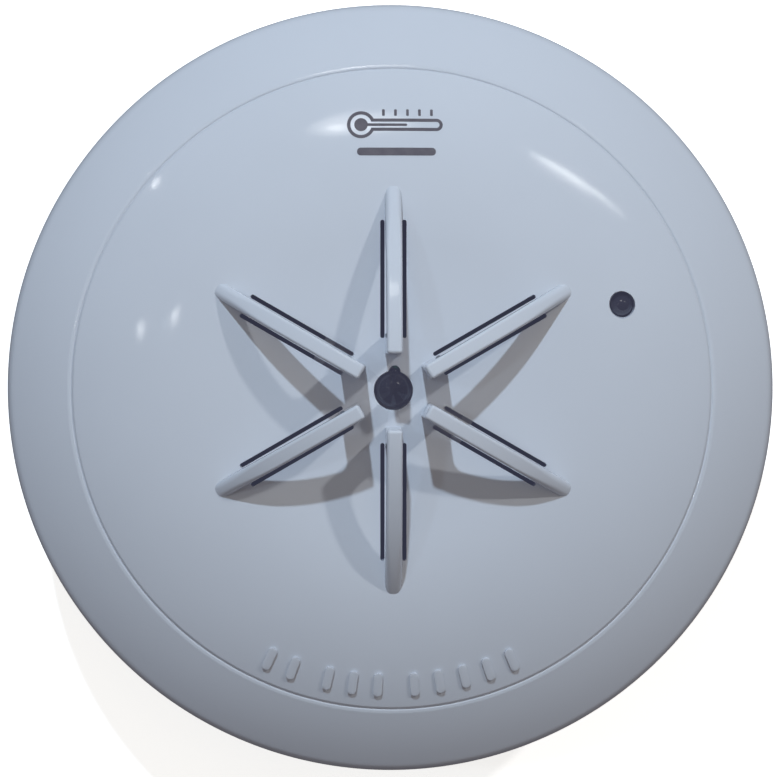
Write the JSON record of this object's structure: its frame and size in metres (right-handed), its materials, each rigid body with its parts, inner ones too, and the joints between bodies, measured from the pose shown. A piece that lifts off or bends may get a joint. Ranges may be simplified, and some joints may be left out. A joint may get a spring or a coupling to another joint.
{
  "type": "heat detector",
  "caption": "Round plug-in heat detector on its mounting base: domed white cover, radial guard fins round a thermistor bead in the hub, air slots, seam ring and indicator lamp.",
  "frame": {"origin": "centre of the mounting base's back face, which lies against the ceiling", "axes": "+Z out of the back face towards the sensor guard's tips; +Y along the guard's first fin, 12 o'clock in front view; +X to the right in front view, the indicator lamp's side"},
  "size_m": [0.1, 0.1, 0.043],
  "materials": {
    "cover_plastic": "cool white glossy moulded ABS",
    "rear_plastic": "white moulded ABS, satin",
    "base_plastic": "white moulded ABS, satin gloss",
    "holder_plastic": "white moulded nylon",
    "bead_epoxy": "black epoxy, satin gloss",
    "lens_smoked": "dark tinted clear lamp lens",
    "spacer_nylon": "natural nylon",
    "board_laminate": "green solder mask on glass laminate",
    "nickel_sheet": "nickel-plated spring sheet",
    "terminal_brass": "turned brass",
    "screw_steel": "zinc-plated steel",
    "tinned_wire": "tinned copper wire",
    "component_black": "black moulded component body",
    "ceramic_orange": "dipped ceramic disc",
    "resistor_tan": "lacquered resistor body",
    "mark_print": "dark grey pad print"
  },
  "bodies": {
    "base": {"base_plate": "base_plastic", "contact_clip_1": "nickel_sheet", "contact_clip_2": "nickel_sheet", "contact_clip_3": "nickel_sheet", "contact_clip_4": "nickel_sheet", "clamp_washer_1": "nickel_sheet", "clamp_washer_2": "nickel_sheet", "clamp_washer_3": "nickel_sheet", "clamp_washer_4": "nickel_sheet", "terminal_screw_1": "terminal_brass", "terminal_screw_2": "terminal_brass", "terminal_screw_3": "terminal_brass", "terminal_screw_4": "terminal_brass"},
    "head": {"rear_housing": "rear_plastic", "outer_ring": "cover_plastic", "front_cover": "cover_plastic", "circuit_board": "board_laminate", "contact_blade_1": "nickel_sheet", "contact_blade_2": "nickel_sheet", "contact_blade_3": "nickel_sheet", "contact_blade_4": "nickel_sheet", "contact_screw_1": "screw_steel", "contact_screw_2": "screw_steel", "contact_screw_3": "screw_steel", "contact_screw_4": "screw_steel", "contact_nut_1": "terminal_brass", "contact_nut_2": "terminal_brass", "contact_nut_3": "terminal_brass", "contact_nut_4": "terminal_brass", "case_screw_1": "screw_steel", "case_screw_2": "screw_steel", "case_screw_3": "screw_steel", "thermistor_bead": "bead_epoxy", "thermistor_lead_1": "tinned_wire", "thermistor_lead_2": "tinned_wire", "thermistor_holder": "holder_plastic", "indicator_lens": "lens_smoked", "indicator_spacer": "spacer_nylon", "indicator_leg_1": "tinned_wire", "indicator_leg_2": "tinned_wire", "electrolytic_capacitor": "component_black", "comparator_chip": "component_black", "bridge_rectifier": "component_black", "transistor_1": "component_black", "transistor_2": "component_black", "ceramic_capacitor_1": "ceramic_orange", "ceramic_capacitor_2": "ceramic_orange", "resistor_1": "resistor_tan", "resistor_2": "resistor_tan", "resistor_3": "resistor_tan", "resistor_4": "resistor_tan"}
  },
  "joints": [
    {"name": "head_twist", "type": "hinge", "parent": "base", "child": "head", "pos_m": [0, 0, 0.0099], "axis": [0, 0, 1], "range_deg": [0, 18]}
  ]
}
